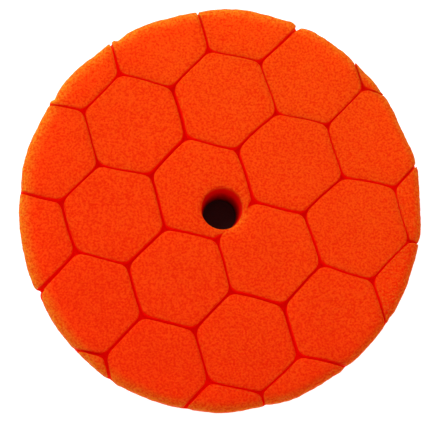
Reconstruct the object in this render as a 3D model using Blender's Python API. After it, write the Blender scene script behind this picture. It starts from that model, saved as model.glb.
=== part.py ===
"""Foam polishing pad: a round foam body with hexagonal grooves and a hook-and-loop backing.

The pad lies on its loop face. The origin is the centre of that face, and +Z runs along the axis that
the pad spins about, towards the working face. Lengths are in metres and angles in radians.
"""

import math

import bmesh
import bpy
from mathutils import Vector

# Foam body
FACE_DIAMETER = 0.150
FOAM_THICKNESS = 0.025
RIM_ROUND = 0.004  # quarter round between the working face and the side
SIDE_TAPER = 0.009  # how far the side runs in, per side, on its way to the back
WALL_BELOW_GROOVES = 0.0005  # the side stays upright this far below them, so thin outer tiles hold on

# Centre hole, which stops at the backing
BORE_MOUTH_DIAMETER = 0.0156
BORE_FLOOR_DIAMETER = 0.0124
BORE_LIP_ROUND = 0.0008

# Hexagonal grooves in the working face
TILE_SIDE = 0.0199  # side of one cell of the pattern, from groove centre to groove centre
GROOVE_WIDTH = 0.0008
GROOVE_DEPTH = 0.0095
TILE_CORNER_ROUND = 0.0022
PATTERN_TURN = math.radians(-13.9)  # direction from a cell's centre to its first corner
PATTERN_SHIFT = 0.0105  # from the spin axis to the nearest cell's centre, square to one of its sides
SHIFT_SIDE = 2  # that side, counted from the first corner

# Backing: adhesive film, knitted ground cloth and the loops on it
BACKING_MARGIN = 0.001  # foam left bare round the backing
FILM_THICKNESS = 0.0003
CLOTH_THICKNESS = 0.0008
LOOP_HEIGHT = 0.0017
LAYER_GAP = 0.0003  # air between two layers that are bonded on the real pad

# How finely round shapes are cut
TURNED_STEPS = 80
ARC_STEPS = 4
CORNER_STEPS = 3
CUTTER_OVERSHOOT = 0.002

# Heights of the layers, from the loop face up
CLOTH_BOTTOM = LOOP_HEIGHT + LAYER_GAP
FILM_BOTTOM = CLOTH_BOTTOM + CLOTH_THICKNESS + LAYER_GAP
FOAM_BOTTOM = FILM_BOTTOM + FILM_THICKNESS + LAYER_GAP
FOAM_TOP = FOAM_BOTTOM + FOAM_THICKNESS

FACE_RADIUS = FACE_DIAMETER / 2
FOAM_BACK_RADIUS = FACE_RADIUS - SIDE_TAPER
BACKING_RADIUS = FOAM_BACK_RADIUS - BACKING_MARGIN

SIX_SIDES = 6
CORNER_TURN = math.tau / SIX_SIDES
HALF_CORNER = CORNER_TURN / 2


def clear_scene():
    """Remove every object that the file holds."""
    for obj in list(bpy.data.objects):
        bpy.data.objects.remove(obj, do_unlink=True)


def soft_material(name, colour, roughness):
    """Return a non-metallic material of one colour."""
    material = bpy.data.materials.new(name)
    material.use_nodes = True
    shader = material.node_tree.nodes["Principled BSDF"]
    shader.inputs["Base Color"].default_value = (*colour, 1.0)
    shader.inputs["Roughness"].default_value = roughness
    shader.inputs["Metallic"].default_value = 0.0
    return material


def add_object(name, builder, material=None):
    """Turn a bmesh into a named object in the scene, with its faces pointing out."""
    bmesh.ops.recalc_face_normals(builder, faces=builder.faces)
    mesh = bpy.data.meshes.new(name)
    builder.to_mesh(mesh)
    builder.free()
    obj = bpy.data.objects.new(name, mesh)
    bpy.context.scene.collection.objects.link(obj)
    if material:
        mesh.materials.append(material)
    return obj


def heading(angle):
    """Return the unit vector that points along an angle in a plane."""
    return Vector((math.cos(angle), math.sin(angle)))


def arc(centre, radius, start, end, steps):
    """Return points of an arc in a plane, both ends included."""
    turn = (end - start) / steps
    return [Vector(centre) + radius * heading(start + turn * step) for step in range(steps + 1)]


def turned(profile):
    """Sweep a closed profile of (radius, height) points round the Z axis."""
    builder = bmesh.new()
    rings = []
    for step in range(TURNED_STEPS):
        outward = heading(math.tau * step / TURNED_STEPS)
        rings.append([builder.verts.new((*(radius * outward), height)) for radius, height in profile])
    for step, ring in enumerate(rings):
        following = rings[(step + 1) % TURNED_STEPS]
        for index in range(len(profile)):
            after = (index + 1) % len(profile)
            builder.faces.new((ring[index], following[index], following[after], ring[after]))
    return builder


def disc(radius, bottom, thickness):
    """Return a flat round plate that stands on the height called bottom."""
    builder = bmesh.new()
    rim = [
        builder.verts.new((*point, bottom))
        for point in arc((0.0, 0.0), radius, 0.0, math.tau, TURNED_STEPS)[:-1]
    ]
    face = builder.faces.new(rim)
    raised = bmesh.ops.extrude_face_region(builder, geom=[face])["geom"]
    top = [item for item in raised if isinstance(item, bmesh.types.BMVert)]
    bmesh.ops.translate(builder, verts=top, vec=(0.0, 0.0, thickness))
    return builder


def foam_profile():
    """Return the outline of the foam's wall, from the bore's floor edge round to the bore's lip."""
    floor_radius = BORE_FLOOR_DIAMETER / 2
    mouth_radius = BORE_MOUTH_DIAMETER / 2
    rim_centre = (FACE_RADIUS - RIM_ROUND, FOAM_TOP - RIM_ROUND)
    lip_centre = (mouth_radius + BORE_LIP_ROUND, FOAM_TOP - BORE_LIP_ROUND)
    return [
        Vector((floor_radius, FOAM_BOTTOM)),
        Vector((FOAM_BACK_RADIUS, FOAM_BOTTOM)),
        Vector((FACE_RADIUS, FOAM_TOP - GROOVE_DEPTH - WALL_BELOW_GROOVES)),
        *arc(rim_centre, RIM_ROUND, 0.0, math.pi / 2, ARC_STEPS),
        *arc(lip_centre, BORE_LIP_ROUND, math.pi / 2, math.pi, ARC_STEPS),
    ]


def side_heading(side):
    """Return the direction from a cell's centre square to one of its six sides."""
    return heading(PATTERN_TURN + HALF_CORNER + side * CORNER_TURN)


def cell_centres(reach):
    """Return the centres of all cells of the pattern that lie within reach of the spin axis."""
    across = math.sqrt(3) * TILE_SIDE
    count = math.ceil(reach / across) + 2
    centres = [
        PATTERN_SHIFT * side_heading(SHIFT_SIDE) + across * (u * side_heading(0) + v * side_heading(1))
        for u in range(-count, count + 1)
        for v in range(-count, count + 1)
    ]
    return [centre for centre in centres if centre.length < reach]


def cell_floor(builder, centre, height):
    """Lay the groove floor of one cell: the band between its hexagon and its rounded tile."""
    bend_centre = TILE_SIDE - (GROOVE_WIDTH / 2 + TILE_CORNER_ROUND) / math.cos(HALF_CORNER)
    corners, bends = [], []
    for side in range(SIX_SIDES):
        angle = PATTERN_TURN + side * CORNER_TURN
        outward = heading(angle)
        corners.append(builder.verts.new((*(centre + TILE_SIDE * outward), height)))
        bend = arc(
            centre + bend_centre * outward,
            TILE_CORNER_ROUND,
            angle - HALF_CORNER,
            angle + HALF_CORNER,
            CORNER_STEPS,
        )
        bends.append([builder.verts.new((*point, height)) for point in bend])
    for side in range(SIX_SIDES):
        after = (side + 1) % SIX_SIDES
        for first, second in zip(bends[side], bends[side][1:]):
            builder.faces.new((corners[side], second, first))
        builder.faces.new((corners[side], corners[after], bends[after][0], bends[side][-1]))


def add_groove_cutter():
    """Make the honeycomb that the grooves take out of the working face."""
    builder = bmesh.new()
    for centre in cell_centres(FACE_RADIUS + 2 * TILE_SIDE):
        cell_floor(builder, centre, FOAM_TOP - GROOVE_DEPTH)
    bmesh.ops.remove_doubles(builder, verts=builder.verts, dist=GROOVE_WIDTH / 100)
    raised = bmesh.ops.extrude_face_region(builder, geom=list(builder.faces))["geom"]
    top = [item for item in raised if isinstance(item, bmesh.types.BMVert)]
    bmesh.ops.translate(builder, verts=top, vec=(0.0, 0.0, GROOVE_DEPTH + CUTTER_OVERSHOOT))
    cutter = add_object("groove_cutter", builder)
    cutter.hide_render = True
    cutter.display_type = "WIRE"
    return cutter


def add_foam_pad():
    """Make the foam body: one turned block with the bore through it and the grooves cut in its face."""
    foam = soft_material("orange_foam", (0.905, 0.046, 0.003), 0.95)
    pad = add_object("foam_pad", turned(foam_profile()), foam)
    cut = pad.modifiers.new("hexagonal_grooves", "BOOLEAN")
    cut.operation = "DIFFERENCE"
    cut.solver = "EXACT"
    cut.object = add_groove_cutter()
    return pad


def add_hot_melt_film():
    """Make the adhesive film that bonds the cloth to the foam and closes the bore."""
    adhesive = soft_material("black_hot_melt", (0.012, 0.011, 0.011), 0.45)
    return add_object("hot_melt_film", disc(BACKING_RADIUS, FILM_BOTTOM, FILM_THICKNESS), adhesive)


def add_backing_cloth():
    """Make the knitted ground cloth that carries the loops."""
    knit = soft_material("black_ground_knit", (0.016, 0.016, 0.017), 0.9)
    return add_object("backing_cloth", disc(BACKING_RADIUS, CLOTH_BOTTOM, CLOTH_THICKNESS), knit)


def add_loop_pile():
    """Make the layer of loops that the hooks of a backing plate grip."""
    loops = soft_material("black_loop_yarn", (0.02, 0.02, 0.022), 0.85)
    return add_object("loop_pile", disc(BACKING_RADIUS, 0.0, LOOP_HEIGHT), loops)


def main():
    """Build the pad from an empty scene."""
    clear_scene()
    for obj in (add_foam_pad(), add_hot_melt_film(), add_backing_cloth(), add_loop_pile()):
        obj.data.shade_smooth()
        obj.data.set_sharp_from_angle(angle=math.radians(40))


main()
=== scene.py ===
"""Looks of a round foam polishing pad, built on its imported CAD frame.

The pad lies on its loop face. +Z is the axis it spins about, towards the working face. Lengths are in
metres and angles in radians.
"""

from __future__ import annotations

import sys

import logging
import math
from collections.abc import Callable
from dataclasses import dataclass
from enum import Enum, IntEnum

import bmesh
import bpy
import numpy as np
from mathutils import Matrix, Vector

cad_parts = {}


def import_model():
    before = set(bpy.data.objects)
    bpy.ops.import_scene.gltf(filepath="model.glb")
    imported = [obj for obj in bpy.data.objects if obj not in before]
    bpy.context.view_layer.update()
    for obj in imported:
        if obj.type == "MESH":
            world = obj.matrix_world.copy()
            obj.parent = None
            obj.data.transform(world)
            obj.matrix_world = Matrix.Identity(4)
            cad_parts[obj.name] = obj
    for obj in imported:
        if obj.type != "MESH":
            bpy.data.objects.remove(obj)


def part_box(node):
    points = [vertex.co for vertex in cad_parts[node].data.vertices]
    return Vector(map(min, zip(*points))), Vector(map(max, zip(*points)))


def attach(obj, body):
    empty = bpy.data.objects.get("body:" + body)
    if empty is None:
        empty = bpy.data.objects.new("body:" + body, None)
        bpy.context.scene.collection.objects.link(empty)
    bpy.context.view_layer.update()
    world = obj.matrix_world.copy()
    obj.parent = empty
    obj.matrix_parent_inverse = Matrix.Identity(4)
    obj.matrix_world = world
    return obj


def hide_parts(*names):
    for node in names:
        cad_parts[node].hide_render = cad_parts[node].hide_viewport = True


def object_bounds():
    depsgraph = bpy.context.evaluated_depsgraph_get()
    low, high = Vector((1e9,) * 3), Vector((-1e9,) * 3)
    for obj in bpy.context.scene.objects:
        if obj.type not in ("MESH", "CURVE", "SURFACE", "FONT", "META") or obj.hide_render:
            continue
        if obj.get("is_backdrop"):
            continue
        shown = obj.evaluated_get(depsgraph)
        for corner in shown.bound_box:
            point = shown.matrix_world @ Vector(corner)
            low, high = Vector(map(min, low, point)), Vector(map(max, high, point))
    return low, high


MM = 0.001
BODY = "root"
LOG = logging.getLogger("polishing_pad")
SIDES = np.arange(6)  # the sides of a hexagon, counter-clockwise from its first corner
BOND_GAP = 0.02 * MM  # air between two layers that are bonded on the real pad
FILM_DROP = 0.1 * MM  # how far the film's underside is let down to meet the cloth
NYLON_IOR = 1.53
TINY = 1e-9  # stands in for nothing where a number divides
Span = tuple[float, float]


class Slot(Enum):
    """The record's material slots."""

    FOAM = "foam"
    ADHESIVE = "adhesive"
    GROUND_KNIT = "ground_knit"
    LOOP_YARN = "loop_yarn"


# ---------------------------------------------------------------- numbers


def smoothstep(values: np.ndarray) -> np.ndarray:
    """Ease values from 0 to 1: three times the square less twice the cube, clipped outside."""
    eased = np.clip(values, 0.0, 1.0)
    return eased * eased * (3.0 - 2.0 * eased)


def share_of(values: np.ndarray, span: Span) -> np.ndarray:
    """Tell how far values are from the span's start to its end, as a share clipped to 0 and 1."""
    return np.clip((values - span[0]) / (span[1] - span[0]), 0.0, 1.0)


def heading(angle: float | np.ndarray) -> np.ndarray:
    """Return the unit vector or vectors that point along an angle in the plane."""
    return np.stack([np.cos(angle), np.sin(angle)], axis=-1)


def direction(plan: np.ndarray) -> np.ndarray:
    """Return the angle at which places in the plane lie, seen from the axis."""
    return np.arctan2(plan[..., 1], plan[..., 0])


def turn_from(start: float | np.ndarray, end: float | np.ndarray) -> np.ndarray:
    """Return the signed turn from one angle to another, at most half a turn either way."""
    return (end - start + math.pi) % math.tau - math.pi


def round_over(inset: np.ndarray, radius: float | np.ndarray) -> np.ndarray:
    """Work out how far a quarter round has dropped.

    The drop is the radius less the height of a circle of that radius, which is the square root of the
    radius squared less the square of what the inset still lacks to the radius.

    Args:
        inset: distance inwards from the rounded edge.
        radius: radius of the round.

    Returns:
        The drop below the flat surface, from the radius at the edge to nothing one radius in.
    """
    lacking = np.clip(radius - inset, 0.0, radius)
    return radius - np.sqrt(np.maximum(radius * radius - lacking * lacking, 0.0))


@dataclass(frozen=True)
class Ripple:
    """A smooth, repeatable waviness: the mean of a few sine waves of random direction and phase."""

    seed: int
    wavelength: float
    waves: int = 7
    spread: float = 0.45

    def at(self, points: np.ndarray) -> np.ndarray:
        """Read the waviness.

        Each wave is the sine of the dot product of the point with a wave vector, plus a phase. The sum
        is divided by the square root of half the number of waves, so it has a spread of about one.

        Args:
            points: (..., d) places.

        Returns:
            One number for each place, about -2 to 2.
        """
        rng = np.random.default_rng(self.seed)
        vectors = rng.normal(size=(self.waves, points.shape[-1]))
        vectors /= np.linalg.norm(vectors, axis=1, keepdims=True)
        lengths = self.wavelength * (1.0 + self.spread * rng.uniform(-1.0, 1.0, self.waves))
        phases = rng.uniform(0.0, math.tau, self.waves)
        angles = points @ (vectors * (math.tau / lengths)[:, None]).T + phases
        return np.sin(angles).sum(axis=-1) / math.sqrt(self.waves / 2.0)


# ---------------------------------------------------------------- meshes


def grid_faces(rows: int, columns: int, first: int = 0) -> np.ndarray:
    """Number the quads of a grid whose rows are closed rings.

    Quad (row, column) joins its own corner, the one a row on, the one a row and a column on, and the
    one a column on. The last column joins the first.

    Args:
        rows: how many rings.
        columns: how many points in a ring.
        first: number of the grid's first vertex.

    Returns:
        ((rows - 1) * columns, 4) vertex numbers.
    """
    row, column = np.meshgrid(np.arange(rows - 1), np.arange(columns), indexing="ij")
    after = (column + 1) % columns
    quads = [row * columns + column, (row + 1) * columns + column]
    quads += [(row + 1) * columns + after, row * columns + after]
    return first + np.stack(quads, axis=-1).reshape(-1, 4)


def fan_faces(ring: np.ndarray, pole: int) -> np.ndarray:
    """Join a pole to a ring of vertex numbers that runs counter-clockwise round it."""
    return np.stack([np.full_like(ring, pole), ring, np.roll(ring, -1)], axis=-1)


def zip_rings(
    inner: np.ndarray, outer: np.ndarray, inner_turn: np.ndarray, outer_turn: np.ndarray
) -> np.ndarray:
    """Join two concentric rings that have different numbers of points.

    Each step round one ring makes a triangle with the point that the other ring has reached by the
    end of that step (outer) or by its start (inner).

    Args:
        inner: vertex numbers of the inner ring.
        outer: vertex numbers of the outer ring.
        inner_turn: rising angles of the inner ring's points, from 0 to a full turn.
        outer_turn: the same for the outer ring.

    Returns:
        (n, 3) vertex numbers, counter-clockwise seen from above.
    """
    reached = np.searchsorted(inner_turn, outer_turn, side="right") - 1
    from_outer = np.stack([inner[reached], outer, np.roll(outer, -1)], axis=-1)
    reached = np.searchsorted(outer_turn, np.roll(inner_turn, -1) % math.tau, side="left") % len(outer)
    from_inner = np.stack([inner, outer[reached], np.roll(inner, -1)], axis=-1)
    return np.concatenate([from_outer, from_inner])


Move = Callable[[np.ndarray, dict[str, np.ndarray]], np.ndarray]


@dataclass
class Shell:
    """A mesh being gathered: arrays of vertices, of numbers carried by them, and of faces."""

    names: tuple[str, ...] = ()

    def __post_init__(self) -> None:
        """Start with nothing gathered."""
        self.count = 0
        self.points: list[np.ndarray] = []
        self.carried: dict[str, list[np.ndarray]] = {name: [] for name in self.names}
        self.faces: list[np.ndarray] = []

    def add(self, points: np.ndarray, **carried: np.ndarray | float) -> int:
        """Add vertices.

        Args:
            points: (..., 3) places.
            carried: one number for each place, or one for all, for each carried name.

        Returns:
            The number of the first vertex added.
        """
        first = self.count
        flat = points.reshape(-1, 3)
        self.points.append(flat)
        self.count += len(flat)
        for name in self.names:
            values = np.broadcast_to(carried[name], points.shape[:-1])
            self.carried[name].append(values.reshape(-1))
        return first

    def built(self, name: str, move: Move | None = None, merge: float = 0.0) -> bpy.types.Object:
        """Make the object.

        Args:
            name: its name.
            move: a function from (points, carried) to moved points, or None.
            merge: vertices closer together than this become one.

        Returns:
            A smooth-shaded object at the origin.
        """
        points = np.concatenate(self.points)
        carried = {key: np.concatenate(values) for key, values in self.carried.items()}
        if move is not None:
            points = move(points, carried)
        mesh = bpy.data.meshes.new(name)
        mesh.from_pydata(points, [], [face for faces in self.faces for face in faces.tolist()])
        for key, values in carried.items():
            layer = mesh.attributes.new(key, "FLOAT", "POINT")
            layer.data.foreach_set("value", values.astype(np.float32))
        builder = bmesh.new()
        builder.from_mesh(mesh)
        if merge:
            bmesh.ops.remove_doubles(builder, verts=builder.verts, dist=merge)
        bmesh.ops.recalc_face_normals(builder, faces=builder.faces)
        builder.to_mesh(mesh)
        builder.free()
        mesh.shade_smooth()
        obj = bpy.data.objects.new(name, mesh)
        bpy.context.scene.collection.objects.link(obj)
        return obj


def report(piece: bpy.types.Object) -> None:
    """Log a finished piece: its faces, and how many of its edges fail to join two of them.

    Args:
        piece: the piece's object.
    """
    builder = bmesh.new()
    builder.from_mesh(piece.data)
    open_edges = sum(1 for edge in builder.edges if len(edge.link_faces) != 2)
    builder.free()
    LOG.info("%s: %d faces, %d open edges", piece.name, len(piece.data.polygons), open_edges)


def adopt(obj: bpy.types.Object, material: bpy.types.Material, node: str) -> None:
    """Dress a finished piece, let it ride on the pad's body and stand for its CAD node.

    Args:
        obj: the piece's object.
        material: its material.
        node: the CAD node that it replaces.
    """
    obj.data.materials.append(material)
    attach(obj, BODY)
    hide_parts(node)


# ---------------------------------------------------------------- materials


def linear(colour: str) -> tuple[float, float, float, float]:
    """Turn an sRGB hex colour into a linear one.

    A channel up to 0.04045 is divided by 12.92. Any other has 0.055 added, is divided by 1.055 and
    raised to the power 2.4.

    Args:
        colour: the colour as "#RRGGBB".

    Returns:
        Linear red, green and blue, and full alpha.
    """
    channels = np.array([int(colour[index : index + 2], 16) for index in (1, 3, 5)]) / 255.0
    low, high = channels / 12.92, ((channels + 0.055) / 1.055) ** 2.4
    return (*(float(value) for value in np.where(channels <= 0.04045, low, high)), 1.0)


def new_material(name: str) -> tuple[bpy.types.Material, bpy.types.NodeTree, bpy.types.Node]:
    """Start a material.

    Args:
        name: its name.

    Returns:
        The material, its node tree and its principled shader.
    """
    material = bpy.data.materials.new(name)
    material.use_nodes = True
    tree = material.node_tree
    return material, tree, tree.nodes["Principled BSDF"]


def add_node(
    tree: bpy.types.NodeTree, kind: str, inputs: dict | None = None, **settings: object
) -> bpy.types.Node:
    """Add a node.

    Args:
        tree: the tree it goes in.
        kind: Blender's name for the node, without the leading "ShaderNode".
        inputs: for a socket's name or number, the value it gets or the output that feeds it.
        settings: the node's own settings.

    Returns:
        The node.
    """
    node = tree.nodes.new("ShaderNode" + kind)
    for name, value in settings.items():
        setattr(node, name, value)
    plug(tree, node, inputs or {})
    return node


def plug(tree: bpy.types.NodeTree, node: bpy.types.Node, inputs: dict) -> None:
    """Set sockets of a node to values, or link them to the outputs given.

    Args:
        tree: the node's tree.
        node: the node.
        inputs: for a socket's name or number, the value it gets or the output that feeds it.
    """
    for name, value in inputs.items():
        if isinstance(value, bpy.types.NodeSocket):
            tree.links.new(value, node.inputs[name])
        else:
            node.inputs[name].default_value = value


MIX_FACTOR, MIX_A, MIX_B, MIX_RESULT = 0, 6, 7, 2  # a colour Mix node's own socket numbers


@dataclass(frozen=True)
class PolyurethaneFoam:
    """Open-cell polyurethane foam, cut with a blade: dull, fine-pored, and light passes through it.

    Red light travels millimetres through the foam before it leaves, and the rest is soaked up at once.
    So the narrow grooves glow a deep red where a solid plastic would be black; that deep red and glow
    are also painted on, as a painted deep red and a painted red glow on the groove walls. The pores are
    drawn a little coarser than real ones, so that they show.
    """

    warm: str = "#FF5B0D"
    cool: str = "#F6450B"
    pore: str = "#F49400"
    # partly the paler cut foam of the rim, partly painted light: the rim painted lighter, most on the
    # side that faces the lamp
    pale_cut_and_painted_light: str = "#DE861A"
    # painted light: the deep red that groove walls and the hole's mouth are painted, standing in for red
    # light through the foam
    deep: str = "#FF0A00"
    # painted shade: the hole's wall is painted darker towards its foot
    painted_hole_foot_shade: str = "#900000"
    unlit: str = "#000000"
    # painted light: the red that groove walls emit, a painted glow for light through the foam
    glow: str = "#660200"
    pore_size: float = 0.76 * MM
    cell_size: float = 0.42 * MM
    pit_depth: float = 0.2 * MM
    pit_strength: float = 0.6
    blotch_size: float = 16.0 * MM
    blotch_strength: float = 1.2
    # painted light: the face is painted lighter, towards the warm orange, along this direction (+Y, a
    # little +X)
    painted_face_light_side: Span = (6.0, 11.9)
    tone_and_light_span: Span = (-0.2, 1.5)
    grit_span: Span = (0.37, 0.65)
    # painted light and shade: the hole's wall is painted deep red below its mouth and painted darker
    # towards its foot
    mouth_span: Span = (0.0, 0.16)
    foot_shade_span: Span = (0.38, 1.0)
    scatter: float = 8.0 * MM
    scatter_radius: tuple[float, float, float] = (1.0, 0.12, 0.05)
    roughness: float = 0.95

    def material(self) -> bpy.types.Material:
        """Build the foam's nodes.

        Blotches and a painted lighting gradient, lighter towards +Y, choose between a cool and a warm
        orange. Rim edges are paler, partly as cut foam and partly as painted light, most on the side
        that faces the lamp; the face about the hole's lip is paler towards the web; pores are darker.
        Groove walls are painted a deep red with a painted red glow, and the hole's wall is painted deep
        red below its mouth and darkens towards its foot in painted shade.

        Returns:
            The material.
        """
        material, tree, shader = new_material("orange_polyurethane_foam")
        place = add_node(tree, "TexCoord").outputs["Object"]
        # deep and glow carry painted red light in the grooves; cut carries the rim's paleness, partly
        # painted light; bore carries the depth down the hole
        cut, deep, glow, bore = (
            add_node(tree, "Attribute", attribute_name=name).outputs["Fac"]
            for name in ("cut", "deep", "glow", "bore")
        )
        # painted light: this slope, added to the blotches, paints the face lighter towards +Y
        slope = {0: place, 1: (*self.painted_face_light_side, 0.0)}
        across = add_node(tree, "VectorMath", slope, operation="DOT_PRODUCT")
        blotch, grit = (
            add_node(tree, "TexNoise", {"Vector": place, "Scale": 1.0 / size, "Detail": detail})
            for size, detail in ((self.blotch_size, 3.0), (self.pore_size, 2.0))
        )
        cells = add_node(tree, "TexVoronoi", {"Vector": place, "Scale": 1.0 / self.cell_size})
        sums = {0: blotch.outputs["Fac"], 1: self.blotch_strength, 2: across.outputs["Value"]}
        drift = add_node(tree, "Math", sums, operation="MULTIPLY_ADD").outputs[0]
        tone_and_painted_light, grain, mouth, foot = (
            add_node(tree, "MapRange", {"Value": value, "From Min": low, "From Max": high}).outputs[0]
            for value, (low, high) in (
                (drift, self.tone_and_light_span),
                (grit.outputs["Fac"], self.grit_span),
                (bore, self.mouth_span),
                (bore, self.foot_shade_span),
            )
        )
        tint = linear(self.cool)
        for share, colour, blend in (
            (tone_and_painted_light, self.warm, "MIX"),
            (cut, self.pale_cut_and_painted_light, "MIX"),
            (grain, self.pore, "MULTIPLY"),
            (deep, self.deep, "MIX"),
            (mouth, self.deep, "MIX"),
            (foot, self.painted_hole_foot_shade, "MIX"),
        ):
            layer = {MIX_FACTOR: share, MIX_A: tint, MIX_B: linear(colour)}
            tint = add_node(tree, "Mix", layer, data_type="RGBA", blend_type=blend).outputs[MIX_RESULT]
        # painted light: the groove walls emit a painted red glow
        layer = {MIX_FACTOR: glow, MIX_A: linear(self.unlit), MIX_B: linear(self.glow)}
        painted_red_glow = add_node(tree, "Mix", layer, data_type="RGBA").outputs[MIX_RESULT]
        sums = {0: grain, 1: cells.outputs["Distance"], 2: grain}
        pits = add_node(tree, "Math", sums, operation="MULTIPLY_ADD").outputs[0]
        dents = {"Height": pits, "Strength": self.pit_strength, "Distance": self.pit_depth}
        sockets = {
            "Base Color": tint,
            "Roughness": self.roughness,
            "Normal": add_node(tree, "Bump", dents, invert=True).outputs[0],
            "Specular IOR Level": 0.04,
            "Subsurface Weight": 1.0,
            "Subsurface Radius": self.scatter_radius,
            "Subsurface Scale": self.scatter,
            "Emission Color": painted_red_glow,
            "Emission Strength": 1.0,
        }
        plug(tree, shader, sockets)
        return material


# ---------------------------------------------------------------- the honeycomb


@dataclass(frozen=True)
class Honeycomb:
    """The pattern of hexagonal cells that the grooves follow, with one cell beside the hole."""

    side: float = 19.9 * MM
    turn: float = math.radians(-13.9)
    shift: float = 10.5 * MM
    shift_side: int = 2

    @property
    def apothem(self) -> float:
        """Distance from a cell's centre to each of its sides."""
        return self.side * math.sqrt(3.0) / 2.0

    def corners(self, centre: np.ndarray) -> np.ndarray:
        """Return a cell's six corners, counter-clockwise."""
        return centre + self.side * heading(self.turn + math.tau / 6 * SIDES)

    def normals(self) -> np.ndarray:
        """Return the outward directions of the six sides; side i runs from corner i to corner i + 1."""
        return heading(self.turn + math.tau / 6 * (SIDES + 0.5))

    def home(self) -> np.ndarray:
        """Return the centre of the cell that holds the hole."""
        return self.shift * self.normals()[self.shift_side]

    def centres(self, reach: float) -> np.ndarray:
        """Lay out the cells in rows square to the first two sides, twice the apothem apart.

        Args:
            reach: how far from the axis a centre may be.

        Returns:
            (n, 2) centres.
        """
        count = math.ceil(reach / self.apothem / 2.0) + 2
        steps = np.arange(-count, count + 1)
        u, v = (axis.reshape(-1, 1) for axis in np.meshgrid(steps, steps, indexing="ij"))
        normals = self.normals()
        centres = self.home() + 2.0 * self.apothem * (u * normals[0] + v * normals[1])
        return centres[np.linalg.norm(centres, axis=1) < reach]


class Border(IntEnum):
    """What borders a cell at a point, where it isn't one of its six sides."""

    RIM = -1
    WEB = -2


@dataclass
class Cell:
    """One cell of the honeycomb inside the pad's rim.

    Its rays start at origin, and centre is the hexagon's own. For each point round it, side is the
    number of the side there or a Border, and openness is how deep the groove is, as a share.
    """

    origin: np.ndarray
    centre: np.ndarray
    points: np.ndarray
    side: np.ndarray
    openness: np.ndarray

    def has(self, border: Border) -> bool:
        """Tell whether the cell has that border anywhere."""
        return bool((self.side == border).any())


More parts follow.
